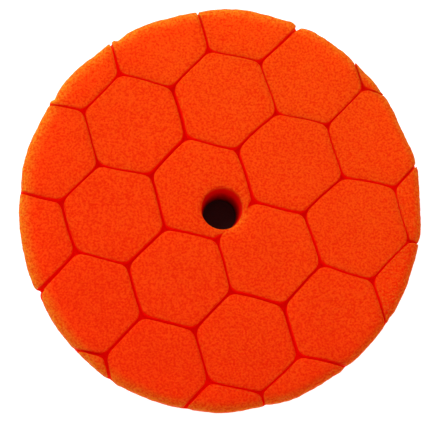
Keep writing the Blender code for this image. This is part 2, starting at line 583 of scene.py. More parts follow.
@dataclass(frozen=True)
class CellTracer:
    """Traces cells of the honeycomb round the inside of the pad's rim.

    The groove beside the hole is pinched shut there: a web of foam joins the two tiles, and the border
    between their two cells swings round the hole, through that web.
    """

    pattern: Honeycomb
    rim: float
    step: float = 0.8 * MM
    rim_step: float = 0.64 * MM
    web_half: float = 5.8 * MM
    web_taper: float = 3.4 * MM
    shallow: float = 0.9 * MM

    NOTHING = 1e-3
    TOUCHING = 1e-4 * MM

    def shares(self, length: float) -> np.ndarray:
        """Space out points on a straight stretch: even steps less a sine, so closer at both ends."""
        even = np.linspace(0.0, 1.0, max(3, round(length / self.step)) + 1)
        return even - np.sin(math.tau * even) / (2.0 * math.tau)

    def straight(self, start: np.ndarray, end: np.ndarray) -> np.ndarray:
        """Return points from start to end, both included."""
        return start + self.shares(np.linalg.norm(end - start))[:, None] * (end - start)

    def round_axis(self, start: np.ndarray, end: np.ndarray) -> np.ndarray:
        """Go round the axis on a circle, counter-clockwise.

        Args:
            start: the first point, which sets the circle's radius.
            end: the last point.

        Returns:
            (n, 2) points, both ends included.
        """
        first = math.atan2(start[1], start[0])
        sweep = (math.atan2(end[1], end[0]) - first) % math.tau
        radius = np.linalg.norm(start)
        count = max(2, math.ceil(sweep * radius / self.rim_step))
        points = radius * heading(first + np.linspace(0.0, sweep, count + 1))
        points[0], points[-1] = start, end
        return points

    def web(self, start: np.ndarray, end: np.ndarray) -> tuple[np.ndarray, np.ndarray, np.ndarray]:
        """Trace the side beside the hole: straight, round the hole through the web, and straight.

        Args:
            start: first corner, going counter-clockwise round the cell that holds the hole.
            end: second corner.

        Returns:
            Points, whether each is on the web, and how open the groove is at each: the distance to
            the web over the taper, eased.
        """
        middle, along = (start + end) / 2.0, (end - start) / np.linalg.norm(end - start)
        first, last = middle - self.web_half * along, middle + self.web_half * along
        runs = [self.straight(start, first), self.round_axis(first, last), self.straight(last, end)]
        points = np.concatenate([runs[0][:-1], runs[1][:-1], runs[2]])
        on_web = np.zeros(len(points), bool)
        on_web[len(runs[0]) - 1 : len(points) - len(runs[2]) + 1] = True
        gap = np.minimum(np.linalg.norm(points - first, axis=1), np.linalg.norm(points - last, axis=1))
        return points, on_web, np.where(on_web, 0.0, smoothstep(gap / self.web_taper))

    def inside(self, start: np.ndarray, end: np.ndarray) -> tuple[np.ndarray, np.ndarray] | None:
        """Find what lies inside the rim of a straight side.

        Args:
            start: one end of the side.
            end: the other end.

        Returns:
            The ends of the stretch inside, or None if there is none, or only a shallow chord.
        """
        run = end - start
        a, b, c = run @ run, start @ run, start @ start - self.rim**2
        root = b * b - a * c
        if root <= 0.0:
            return None
        low, high = (-b - math.sqrt(root)) / a, (-b + math.sqrt(root)) / a
        away = abs(start[0] * run[1] - start[1] * run[0]) / np.linalg.norm(run)
        if away > self.rim - self.shallow and low > 0.0 and high < 1.0:
            return None
        low, high = max(0.0, low), min(1.0, high)
        return (start + low * run, start + high * run) if high - low > self.NOTHING else None

    def stretches(self, centre: np.ndarray) -> list[tuple[np.ndarray, int, np.ndarray]]:
        """Trace the sides of one cell that have a part inside the rim.

        Args:
            centre: the cell's centre.

        Returns:
            For each stretch its points, the side or web that each lies on, and its openness.
        """
        corners = self.pattern.corners(centre)
        web_side, found = self.web_side(centre), []
        for side, start, end in zip(SIDES, corners, np.roll(corners, -1, axis=0)):
            if side == web_side and side != self.pattern.shift_side:
                points, on_web, openness = self.web(start, end)
                found.append((points, np.where(on_web, Border.WEB, side), openness))
            elif side == web_side:
                points, on_web, openness = (values[::-1] for values in self.web(end, start))
                found.append((points, np.where(on_web, Border.WEB, side), openness))
            elif (ends := self.inside(start, end)) is not None:
                points = self.straight(*ends)
                found.append((points, np.full(len(points), side), np.ones(len(points))))
        return found

    def web_side(self, centre: np.ndarray) -> int | None:
        """Find the side of a cell that lies beside the hole.

        Args:
            centre: the cell's centre.

        Returns:
            The side's number, or None on a cell without one.
        """
        home, opposite = self.pattern.home(), (self.pattern.shift_side + 3) % 6
        if np.allclose(centre, home):
            return opposite
        beside = home + 2.0 * self.pattern.apothem * self.pattern.normals()[opposite]
        return self.pattern.shift_side if np.allclose(centre, beside) else None

    def trace(self, centre: np.ndarray) -> Cell | None:
        """Trace one cell, counter-clockwise, and close the gaps between its sides along the rim.

        Args:
            centre: the cell's centre.

        Returns:
            The cell, or None if it lies outside the rim.
        """
        straight = self.stretches(centre)
        if not straight:
            return None
        runs = []
        for index, run in enumerate(straight):
            runs.append(run)
            end, start = run[0][-1], straight[(index + 1) % len(straight)][0][0]
            if np.linalg.norm(start - end) > self.TOUCHING:
                arc = self.round_axis(end, start)
                runs.append((arc, np.full(len(arc), Border.RIM), np.ones(len(arc))))
        points, side, openness = (np.concatenate([run[part][:-1] for run in runs]) for part in range(3))
        if np.allclose(centre, self.pattern.home()):
            origin = np.zeros(2)
        elif (side == Border.RIM).any():
            origin = self.balance(points)
        else:
            origin = centre
        return Cell(origin, centre, points, side, openness)

    @staticmethod
    def balance(points: np.ndarray) -> np.ndarray:
        """Find a border's centre of area: the mean of its triangles, weighted by signed area.

        Args:
            points: (n, 2) points round the border.

        Returns:
            The centre.
        """
        after = np.roll(points, -1, axis=0)
        areas = points[:, 0] * after[:, 1] - points[:, 1] * after[:, 0]
        return ((points + after) * areas[:, None]).sum(axis=0) / (3.0 * areas.sum())

    def cells(self) -> list[Cell]:
        """Trace every cell that has a part inside the rim."""
        centres = self.pattern.centres(self.rim + self.pattern.side)
        return [cell for cell in map(self.trace, centres) if cell is not None]


# ---------------------------------------------------------------- the foam body


# The direction in degrees of each groove's end at the rim. For each, in millimetres: how far the tile
# before it and the tile after it, counter-clockwise, stand out of the round, and how deep the notch is
RIM_STEPS = {
    12.7: (-0.5, -0.6, 0.2),
    37.3: (-0.4, -0.2, 0.2),
    43.4: (-0.1, -0.1, 0.1),
    68.0: (0.5, 1.2, 1.6),
    95.9: (0.0, -0.15, 0.1),
    122.0: (-0.3, 0.6, 0.0),
    147.0: (-0.2, 0.6, 0.1),
    174.0: (0.45, 0.4, 0.35),
    204.0: (0.55, -0.3, 1.4),
    223.0: (1.0, 0.8, 0.2),
    236.5: (0.5, 0.35, 0.3),
    260.2: (0.75, 0.6, 0.1),
    282.6: (0.05, -0.15, 0.5),
    308.3: (0.3, 0.3, 0.5),
    327.0: (-0.5, -0.35, 0.25),
    351.1: (-0.3, -0.1, 0.2),
}

# What a vertex of the foam carries, where nothing moves it and it is neither cut edge nor groove
# deep and glow carry painted red light in the grooves; cut carries the rim's paleness, partly painted
# light
CARRIED = ("deep", "glow", "cut", "bore", "lean_x", "lean_y", "lean_z", "proud", "firm", "hole")
STILL = dict.fromkeys(CARRIED, 0.0)

Marks = dict[str, np.ndarray | float]  # numbers that vertices carry
Ring = tuple[np.ndarray, np.ndarray]  # the numbers of a ring's vertices, and their angles


@dataclass
class FoamBody:
    """The foam: a thick disc with a hole down its axis and hexagonal tiles standing on it."""

    face_radius: float
    top: float
    bottom: float
    pattern: Honeycomb = Honeycomb()
    finish: PolyurethaneFoam = PolyurethaneFoam()
    seed: int = 11

    # The cut shape; the face meets the hole over a wider round towards the web of foam beside it
    groove_depth: float = 9.5 * MM
    rim_round: float = 4.0 * MM
    side_taper: float = 9.0 * MM
    upright_below_grooves: float = 0.5 * MM
    back_round: float = 0.5 * MM
    back_margin: float = 2.5 * MM
    mouth_radius: float = 7.8 * MM
    floor_radius: float = 6.2 * MM
    lip_round: float = 0.8 * MM
    web_lip_round: float = 2.6 * MM
    web_lip_spread: float = 0.75
    tile_edge_round: float = 0.5 * MM
    tile_corner_blend: float = 2.2 * MM
    rim_corner_blend: float = 0.8 * MM
    most_blend: float = 0.4
    smallest_tile: float = 2.0 * MM

    # The grooves: one width for each of the three directions, then what varies it
    groove_widths: tuple[float, float, float] = (0.94 * MM, 0.80 * MM, 0.94 * MM)
    groove_scatter: float = 0.22
    groove_flare: float = 0.4
    groove_drift: float = 0.28
    drift_heading: float = math.radians(45.0)
    least_groove: float = 0.15 * MM

    # How far the soft foam is out of true: leaning tiles, bowed grooves, an uneven rim with steps
    lean: float = 0.22 * MM
    tile_step: float = 0.10 * MM
    rim_lean: float = 0.3
    bow: float = 0.28 * MM
    bow_length: float = 34.0 * MM
    bow_span: Span = (9.0 * MM, 21.0 * MM)
    rim_wave: float = 0.035 * MM
    rim_wave_length: float = 2.8 * MM
    rim_sway: float = 0.03 * MM
    rim_sway_length: float = 7.5 * MM
    side_wave: float = 0.04 * MM
    side_wave_length: float = 9.0 * MM
    wave_fringe: Span = (-7.0 * MM, -1.0 * MM)
    least_wave: float = 0.25
    step_half_width: float = math.radians(0.3)
    step_fringe: float = 14.0 * MM
    notch_width: float = 3.4 * MM

    # Pale rim and lip, partly paler cut foam and partly painted light; then the painted red and glow of
    # the grooves
    # painted light: the rim is painted paler and wider on this side, which faces the lamp; the rest of
    # its paleness is the cut foam
    painted_rim_light_side: float = math.radians(140.0)
    pale_rim_widths: Span = (3.2 * MM, 6.4 * MM)
    pale_rim_shares: Span = (0.42, 0.92)
    pale_wall_span: Span = (0.35, 0.85)
    pale_wall_fade: float = 0.8
    pale_base_share: float = 0.2
    # a paler band on the face about the hole's lip, towards the web
    pale_lip: float = 0.4
    pale_lip_inset: float = 1.0 * MM
    pale_lip_width: float = 1.6 * MM
    pale_lip_spread: float = 0.8
    # painted light: the rounded tile edges get this share of the painted red and glow; the spans set
    # where groove walls take on painted deep red and painted glow, which fade at the grooves' open ends
    edge_painted_glow: float = 0.16
    deep_span: Span = (0.02, 0.25)
    glow_span: Span = (0.04, 0.30)
    open_end: float = 8.0 * MM
    open_end_fades: Span = (0.55, 0.85)

    # Where the rows of a tile's grid lie, in millimetres in from its edge, in millimetres out from the
    # hole's lip, and as shares of a groove's wall; then how much of the room on the face they may take
    edge_insets: tuple[float, ...] = (5.2, 4.2, 3.2, 2.4, 1.7, 1.15, 0.75, 0.45, 0.25, 0.12, 0.04, 0.0)
    lip_offsets: tuple[float, ...] = (0.0, 0.05, 0.15, 0.35, 0.65, 1.05, 1.6, 2.4, 3.4)
    wall_shares: tuple[float, ...] = (0.05, 0.13, 0.27, 0.45, 0.65, 0.85, 1.0)
    edge_room: float = 0.85
    edge_room_by_hole: float = 0.5
    lip_room: float = 0.42

    INNER_ROWS = 5
    SIDE_ROWS = 14
    BEND_ROWS = 4
    BORE_ROWS = 22
    MERGE = 0.002 * MM
    GRAZING = 1e-6

    def web_heading(self) -> float:
        """Return the direction from the axis to the web of foam beside the hole."""
        return float(direction(-self.pattern.normals()[self.pattern.shift_side]))

    def from_rim(self, plan: np.ndarray) -> np.ndarray:
        """Return how far places in the plane lie outside the rim's circle; inside it is negative."""
        return np.linalg.norm(plan, axis=-1) - self.face_radius

    def face_drop(self, plan: np.ndarray) -> np.ndarray:
        """Work out how far the face has rounded off at a place: over the rim, and into the hole.

        Args:
            plan: (..., 2) places on the face.

        Returns:
            The drop of the rim's round, by the distance in from the rim, plus the drop of the hole's
            lip, by the distance out from the hole. The lip is wider by a bell curve of the angle
            towards the web.
        """
        away = turn_from(self.web_heading(), direction(plan))
        bell = np.exp(-((away / self.web_lip_spread) ** 2))
        lip = self.lip_round + (self.web_lip_round - self.lip_round) * bell
        rim = round_over(np.maximum(-self.from_rim(plan), 0.0), self.rim_round)
        return rim + round_over(np.maximum(np.linalg.norm(plan, axis=-1) - self.mouth_radius, 0.0), lip)

    def pale_share_cut_and_painted_light(self, plan: np.ndarray) -> np.ndarray:
        """Tell how pale a place on the face is: partly paler cut foam, partly painted light.

        Args:
            plan: (..., 2) places on the face.

        Returns:
            By the distance in from the rim, a share that falls from the rim's strength to nothing over
            the rim's width, both larger on the side that faces the lamp, where the rim is painted
            lighter; plus a bell curve about the hole's lip towards the web.
        """
        turn = direction(plan)
        side = 0.5 + 0.5 * np.cos(turn - self.painted_rim_light_side)
        spans = (self.pale_rim_widths, self.pale_rim_shares)
        width, strength = (low + side * (high - low) for low, high in spans)
        rim_pale_and_painted_light = strength * (1.0 - smoothstep(-self.from_rim(plan) / width))
        away = turn_from(self.web_heading(), turn) / self.pale_lip_spread
        out = np.linalg.norm(plan, axis=-1) - self.mouth_radius - self.pale_lip_inset
        return rim_pale_and_painted_light + self.pale_lip * np.exp(-(away**2) - (out / self.pale_lip_width) ** 2)

    def stand_out(self, turn: np.ndarray) -> np.ndarray:
        """Work out how far the rim stands out of the round, by direction.

        The two tiles at each groove's end stand out by the two amounts given for that end. A tile's
        amount runs evenly by angle from one of its ends to the other, and jumps within the groove.
        Each groove's end also dips by its notch, which eases out over a few millimetres of rim.

        Args:
            turn: directions from the axis.

        Returns:
            A distance outwards for each direction.
        """
        ends, steps = np.radians(list(RIM_STEPS)), np.array(list(RIM_STEPS.values()))
        knots = np.stack([ends - self.step_half_width, ends + self.step_half_width], axis=1)
        out = np.interp(turn, knots.reshape(-1), steps[:, :2].reshape(-1), period=math.tau)
        gap = np.abs(turn_from(ends, np.asarray(turn)[..., None])) * self.face_radius
        dip = np.clip(1.0 - gap / self.notch_width, 0.0, 1.0) ** 2 * steps[:, 2]
        return MM * (out - dip.sum(axis=-1))

    def tile_stand_out(self, cell: Cell, plan: np.ndarray) -> np.ndarray:
        """Work out how far each place on an outer tile moves outwards with its piece of the rim.

        Args:
            cell: the tile's cell.
            plan: (..., 2) places on the tile.

        Returns:
            What the rim does in that direction, kept between the tile's own two ends, eased in from
            the rim over the fringe.
        """
        if not cell.has(Border.RIM):
            return np.zeros(plan.shape[:-1])
        middle = direction(cell.origin)
        spread = turn_from(middle, direction(cell.points[cell.side == Border.RIM]))
        first = spread.min() + self.step_half_width
        last = max(spread.max() - self.step_half_width, first)
        turn = np.clip(turn_from(middle, direction(plan)), first, last)
        return smoothstep(self.from_rim(plan) / self.step_fringe + 1.0) * self.stand_out(middle + turn)

    def groove_gaps(self, cell: Cell, number: int, meets: np.ndarray) -> np.ndarray:
        """Work out half the width of a cell's grooves where rays meet its sides.

        Half the width of the groove's direction, scattered a little from side to side, widens by the
        fourth power of the distance from the side's middle, and narrows evenly across the pad.

        Args:
            cell: the cell.
            number: its number, which seeds the widths of its grooves.
            meets: (n, 6, 2) places where n rays meet its six sides.

        Returns:
            (n, 6) half widths. Where the ray ends on a side, its openness scales it.
        """
        rng = np.random.default_rng((self.seed, number))
        half = np.tile(self.groove_widths, 2) / 2.0
        half = half * (1.0 + self.groove_scatter * rng.uniform(-1.0, 1.0, len(SIDES)))
        corners = self.pattern.corners(cell.centre)
        runs = np.roll(corners, -1, axis=0) - corners
        share = np.clip(((meets - corners) * runs).sum(-1) / self.pattern.side**2, 0.0, 1.0)
        gaps = half * (1.0 + self.groove_flare * np.abs(2.0 * share - 1.0) ** 4)
        drift = np.clip(meets @ heading(self.drift_heading) / self.face_radius, -1.0, 1.0)
        gaps = gaps * (1.0 - self.groove_drift * drift)
        return np.where(cell.side[:, None] == SIDES, gaps * cell.openness[:, None], gaps)

    def tile_reach(self, cell: Cell, number: int, ways: np.ndarray, reach: np.ndarray) -> np.ndarray:
        """Work out how far a tile reaches from its cell's origin along each ray.

        A ray meets each side's groove wall at (distance to the side less half the groove) over the
        cosine between the ray and the side's normal, and meets the rim on its circle. The nearest is
        the tile's edge. Where the two nearest are closer together than a blend length, the corner is
        rounded: the square of what they lack to that length, over four times the length, comes off.

        Args:
            cell: the cell.
            number: its number, which seeds the widths of its grooves.
            ways: (n, 2) directions of the rays.
            reach: (n,) distances to the cell's border.

        Returns:
            (n,) distances to the tile's edge.
        """
        normals = self.pattern.normals()
        away = (cell.centre - cell.origin) @ normals.T + self.pattern.apothem
        cosines = ways @ normals.T
        facing = (cosines > self.GRAZING) & np.isin(SIDES, cell.side)
        cosines = np.where(facing, cosines, 1.0)
        meets = cell.origin + (away / cosines)[..., None] * ways[:, None, :]
        walls = np.where(facing, (away - self.groove_gaps(cell, number, meets)) / cosines, np.inf)
        along = ways @ cell.origin
        circle = -along + np.sqrt(along**2 - cell.origin @ cell.origin + self.face_radius**2)
        met = np.concatenate([walls, circle[:, None]], axis=1)
        nearest = np.sort(met, axis=1)[:, :2]
        by_rim = np.argsort(met, axis=1)[:, :2].max(axis=1) == len(SIDES)
        blend = np.where(by_rim, self.rim_corner_blend, self.tile_corner_blend)
        blend = np.minimum(blend, self.most_blend * nearest[:, 0])
        lacking = np.maximum(blend - (nearest[:, 1] - nearest[:, 0]), 0.0)
        edge = np.minimum(nearest[:, 0] - lacking**2 / (4.0 * blend), reach)
        return np.where(cell.side == Border.WEB, reach, edge)

    def face_rows(self, edge: np.ndarray, has_hole: bool) -> np.ndarray:
        """Space out the rows of a tile's face along its rays.

        Rows crowd towards the tile's edge, and towards the hole's lip where there is one, at distances
        that shrink alike where there is little room. A few rows between are evenly spaced.

        Args:
            edge: (n,) distances to the tile's edge.
            has_hole: whether the hole opens in the tile, so that its rays start at the hole's mouth.

        Returns:
            (rows, n) distances from the origin.
        """
        start = self.mouth_radius if has_hole else 0.0
        room = edge - start
        insets = MM * np.array(self.edge_insets)[:, None]
        offsets = MM * np.array(self.lip_offsets)[:, None]
        share = self.edge_room_by_hole if has_hole else self.edge_room
        outer = edge - insets * np.minimum(1.0, room * share / insets[0])
        offsets = start + offsets * np.minimum(1.0, room * self.lip_room / offsets[-1])
        lowest = offsets[-1] if has_hole else np.zeros(len(edge))
        shares = np.linspace(0.0, 1.0, self.INNER_ROWS + 2)[1:-1, None]
        between = lowest + shares * (outer[0] - lowest)
        return np.concatenate([offsets, between, outer] if has_hole else [between, outer])

    def add_tile(self, shell: Shell, cell: Cell, number: int, lean: np.ndarray) -> Ring | None:
        """Add one tile: its face, rounded edge and walls, and its share of the groove floor.

        The grid's columns are rays from the cell's origin to its border, and its rows are rings: out
        over the face, down the wall, and out along the groove floor to the border. A height on the
        face is the top less the rim's and the lip's drop, less a quarter round at a groove's edge.

        Args:
            shell: where it goes.
            cell: its cell.
            number: its number.
            lean: how far its top leans over, in x and y, and how much it stands up.

        Returns:
            The lowest ring of the hole's wall, or None on a tile without the hole.
        """
        border = cell.points - cell.origin
        reach = np.linalg.norm(border, axis=1)
        if reach.max() < self.smallest_tile:
            self.add_bare_floor(shell, cell)
            return None
        ways = border / reach[:, None]
        edge = self.tile_reach(cell, number, ways, reach)
        has_hole = not cell.origin.any()
        rows = self.face_rows(edge, has_hole)
        plan = cell.origin + rows[..., None] * ways
        gap = reach - edge
        rounding = np.maximum(np.minimum(self.tile_edge_round, self.groove_depth * cell.openness), TINY)
        edge_drop = round_over(edge - rows, rounding) * share_of(gap, (0.0, self.least_groove))
        height = self.top - self.face_drop(plan) - edge_drop
        floor = np.minimum(self.top - self.groove_depth * cell.openness, height[-1])
        wall = height[-1] + np.array(self.wall_shares)[:, None] * (floor - height[-1])
        plan = np.concatenate([plan, np.repeat(plan[-1:], len(wall), axis=0), cell.points[None]])
        height = np.concatenate([height, wall, floor[None]])
        sunk = share_of(self.top - height, (0.0, self.groove_depth))
        rounded = self.rim_corner_blend / 4.0
        opened = share_of(gap, (rounded, rounded + self.least_groove))
        groove = sunk * np.where(cell.side == Border.RIM, opened, 1.0)
        # painted light: the rounded tile edges carry a little of the painted red and glow
        groove[: len(rows)] = self.edge_painted_glow * edge_drop / self.tile_edge_round
        marks = {**self.paint(plan, sunk, groove), **self.tile_moves(cell, plan, 1.0 - sunk, lean)}
        first = shell.add(np.concatenate([plan, height[..., None]], axis=-1), **marks)
        shell.faces.append(grid_faces(len(height), len(edge), first))
        ring = first + np.arange(len(edge))
        if has_hole:
            return self.add_hole_wall(shell, ways, ring, height[0])
        pole = np.array([[*cell.origin, self.top - self.face_drop(cell.origin)]])
        spot = shell.add(pole, **{**STILL, **self.tile_moves(cell, pole[:, :2], np.ones(1), lean)})
        shell.faces.append(fan_faces(ring, spot))
        return None

    def paint(self, plan: np.ndarray, sunk: np.ndarray, groove: np.ndarray) -> Marks:
        """Work out the colours that places on a tile carry.

        Args:
            plan: (..., 2) places.
            sunk: how deep each lies, as a share of the groove's depth.
            groove: how much of each is groove wall.

        Returns:
            Painted deep red and painted glow, both weaker at a groove's open end, and the paleness of
            the rim and lip, partly cut foam and partly painted light.
        """
        open_end = smoothstep(self.from_rim(plan) / self.open_end + 1.0)
        fade = 1.0 - self.pale_wall_fade * smoothstep(share_of(sunk, self.pale_wall_span))
        # painted light: deep and glow paint red light onto the groove walls
        return {
            "deep": share_of(groove, self.deep_span) * (1.0 - self.open_end_fades[0] * open_end),
            "glow": share_of(groove, self.glow_span) * (1.0 - self.open_end_fades[1] * open_end),
            "cut": self.pale_share_cut_and_painted_light(plan) * fade * (1.0 - groove),
            "bore": 0.0,
        }

    def tile_moves(self, cell: Cell, plan: np.ndarray, firm: np.ndarray, lean: np.ndarray) -> Marks:
        """Work out what places on a tile carry of its moves.

        Args:
            cell: the tile's cell.
            plan: (..., 2) places.
            firm: how much of the tile's moves each place makes.
            lean: how far the tile's top leans over, in x and y, and how much it stands up.

        Returns:
            The lean, how far each place moves outwards, and its firmness.
        """
        moves = {name: amount * firm for name, amount in zip(("lean_x", "lean_y", "lean_z"), lean)}
        return {**moves, "proud": self.tile_stand_out(cell, plan) * firm, "firm": firm, "hole": 0.0}

    def add_bare_floor(self, shell: Shell, cell: Cell) -> None:
        """Add groove floor alone, in a cell too small to leave a tile standing.

        Args:
            shell: where it goes.
            cell: the cell.
        """
        floor = self.top - self.groove_depth
        # painted light: bare groove floor takes the full painted deep red
        sunk = {**STILL, "deep": 1.0}
        first = shell.add(np.insert(cell.points, 2, floor, axis=1), **sunk)
        pole = shell.add(np.array([[*cell.origin, floor]]), **sunk)
        shell.faces.append(fan_faces(first + np.arange(len(cell.points)), pole))

    def add_hole_wall(self, shell: Shell, ways: np.ndarray, ring: np.ndarray, lip: np.ndarray) -> Ring:
        """Add the hole's wall, whose radius falls evenly from the mouth down to the floor.

        Args:
            shell: where it goes.
            ways: (n, 2) directions round the hole.
            ring: vertex numbers of the lip's lowest ring.
            lip: heights of that ring.

        Returns:
            The wall's lowest ring.
        """
        share = np.linspace(0.0, 1.0, self.BORE_ROWS + 1)[:, None]
        height = self.bottom + share * (lip - self.bottom)
        radius = self.floor_radius + share * (self.mouth_radius - self.floor_radius)
        plan = radius[..., None] * ways
        depth = np.broadcast_to(1.0 - share, height.shape)
        points = np.concatenate([plan, height[..., None]], axis=-1)
        first = shell.add(points, **{**STILL, "bore": depth, "hole": 1.0})
        shell.faces.append(grid_faces(len(points), len(ring), first))
        return first + np.arange(len(ring)), direction(ways) % math.tau

    def add_base(self, shell: Shell, turns: np.ndarray, hole: Ring) -> None:
        """Add the side below the grooves and the flat back.

        The side is upright for a little way, runs in on a straight line to the back's radius, and
        turns into the back over a small quarter round.

        Args:
            shell: where it goes.
            turns: rising angles of the points on the rim, at the height of the groove floor.
            hole: the hole's lowest ring.
        """
        floor = self.top - self.groove_depth
        upright = floor - self.upright_below_grooves
        back = self.face_radius - self.side_taper
        share = np.linspace(0.0, 1.0, self.SIDE_ROWS)
        bend = np.linspace(0.0, math.pi / 2.0, self.BEND_ROWS)[1:]
        low = self.bottom + self.back_round
        radius = [[self.face_radius], self.face_radius - share * self.side_taper]
        radius += [back - self.back_round * (1.0 - np.cos(bend)), [back - self.back_margin]]
        height = [[floor], upright + share * (low - upright)]
        height += [low - self.back_round * np.sin(bend), [self.bottom]]
        radius, height = np.concatenate(radius)[:, None], np.concatenate(height)[:, None]
        plan = radius[..., None] * heading(turns)
        points = np.concatenate([plan, np.broadcast_to(height, plan.shape[:-1])[..., None]], axis=-1)
        # the side below the grooves gets a little of the rim's paleness, partly painted light
        rim_pale_and_painted_light = self.pale_base_share * self.pale_share_cut_and_painted_light(self.face_radius * heading(turns))
        first = shell.add(points, **{**STILL, "cut": rim_pale_and_painted_light})
        shell.faces.append(grid_faces(len(points), len(turns), first)[:, ::-1])
        ring = first + (len(points) - 1) * len(turns) + np.arange(len(turns))
        numbers, angles = hole
        order = np.argsort(angles)
        shell.faces.append(zip_rings(numbers[order], ring, angles[order], turns)[:, ::-1])

    def leans(self, cells: list[Cell]) -> np.ndarray:
        """Choose how far each tile leans: small and outer ones less, and those at the web not at all.

        Args:
            cells: the tiles' cells.

        Returns:
            (n, 3) how far each top leans over, in x and y, and how much it stands up.
        """
        rng = np.random.default_rng(self.seed)
        leans = rng.normal(size=(len(cells), 3)) * np.array([self.lean, self.lean, self.tile_step])
        for index, cell in enumerate(cells):
            reach = np.linalg.norm(cell.points - cell.origin, axis=1).max()
            whole = self.rim_lean if cell.has(Border.RIM) else min(1.0, reach / self.pattern.side)
            leans[index] *= 0.0 if cell.has(Border.WEB) else whole
        return leans

    def relax(self, points: np.ndarray, carried: dict[str, np.ndarray]) -> np.ndarray:
        """Take the foam out of true, as soft foam is once it is cut.

        Each tile leans by its own amount, in full at the face and not at all at the groove floor.
        Slow ripples bow the grooves, quicker ones make the rim and the side uneven, and all of it
        fades out towards the back.

        Args:
            points: (n, 3) places.
            carried: the numbers the vertices carry.

        Returns:
            (n, 3) moved places.
        """
        moved, plan = points.copy(), points[:, :2]
        radius, out = np.linalg.norm(plan, axis=1), self.from_rim(plan)
        outward = plan / np.maximum(radius, TINY)[:, None]
        above = smoothstep((points[:, 2] - self.bottom) / (self.top - self.bottom - self.groove_depth))
        clear = smoothstep(share_of(radius, self.bow_span))
        bows = np.stack([Ripple(self.seed + turn, self.bow_length).at(plan) for turn in (1, 2)], axis=-1)
        moved[:, :2] += bows * (self.bow * above * clear)[:, None]
        wave = self.rim_wave * Ripple(self.seed + 3, self.rim_wave_length, 11).at(plan)
        wave += self.rim_sway * Ripple(self.seed + 6, self.rim_sway_length).at(plan)
        wave += self.side_wave * Ripple(self.seed + 4, self.side_wave_length, 9).at(points)
        wave *= smoothstep(share_of(out, self.wave_fringe))
        wave *= self.least_wave + (1.0 - self.least_wave) * above
        base = above * smoothstep(out / self.side_taper + 1.0) * (1.0 - carried["firm"])
        proud = carried["proud"] + base * self.stand_out(direction(plan))
        moved[:, :2] += outward * (wave + proud)[:, None]
        moved[:, 0] += carried["lean_x"]
        moved[:, 1] += carried["lean_y"]
        moved[:, 2] += np.where(carried["hole"] > 0.5, 0.0, carried["lean_z"])
        return moved

    def build(self) -> bpy.types.Object:
        """Build and dress the foam.

        Returns:
            The foam's object.
        """
        cells = CellTracer(self.pattern, self.face_radius).cells()
        shell = Shell(CARRIED)
        leans = self.leans(cells)
        rings = [self.add_tile(shell, cell, number, leans[number]) for number, cell in enumerate(cells)]
        hole = next(ring for ring in rings if ring is not None)
        points = np.concatenate([cell.points for cell in cells])
        turns = np.sort(direction(points[self.from_rim(points) > -self.MERGE / 2.0]) % math.tau)
        turns = turns[np.diff(turns, prepend=turns[-1] - math.tau) * self.face_radius > self.MERGE]
        self.add_base(shell, turns, hole)
        pad = shell.built("foam_pad_body", self.relax, self.MERGE)
        adopt(pad, self.finish.material(), "foam_pad")
        return pad


# ---------------------------------------------------------------- the backing


@dataclass(frozen=True)
class HotMeltFilm:
    """Black hot-melt adhesive film: satin, faintly dimpled where it has sunk into the foam's pores.

    Its colour is a very dark red-brown: black film with painted red light, the light that the orange
    foam throws on it at the foot of the hole.
    """

    # painted light: both colours are black with painted red light from the foam
    dark: str = "#350609"
    light: str = "#480A0E"
    roughness: Span = (0.32, 0.62)
    gloss: float = 0.15
    dimple_size: float = 1.1 * MM
    dimple_depth: float = 0.15 * MM
    dimple_strength: float = 0.6

    def material(self) -> bpy.types.Material:
        """Build the film's nodes.

        Returns:
            The material.
        """
        material, tree, shader = new_material("black_hot_melt_film")
        dimples = {"Scale": 1.0 / self.dimple_size, "Detail": 3.0}
        dimples["Vector"] = add_node(tree, "TexCoord").outputs["Object"]
        noise = add_node(tree, "TexNoise", dimples).outputs["Fac"]
        tint = {MIX_FACTOR: noise, MIX_A: linear(self.dark), MIX_B: linear(self.light)}
        rough = {"Value": noise, "To Min": self.roughness[0], "To Max": self.roughness[1]}
        bump = {"Height": noise, "Strength": self.dimple_strength, "Distance": self.dimple_depth}
        finish = {
            "Base Color": add_node(tree, "Mix", tint, data_type="RGBA").outputs[MIX_RESULT],
            "Roughness": add_node(tree, "MapRange", rough).outputs[0],
            "Normal": add_node(tree, "Bump", bump).outputs[0],
            "Specular IOR Level": self.gloss,
        }
        plug(tree, shader, finish)
        return material


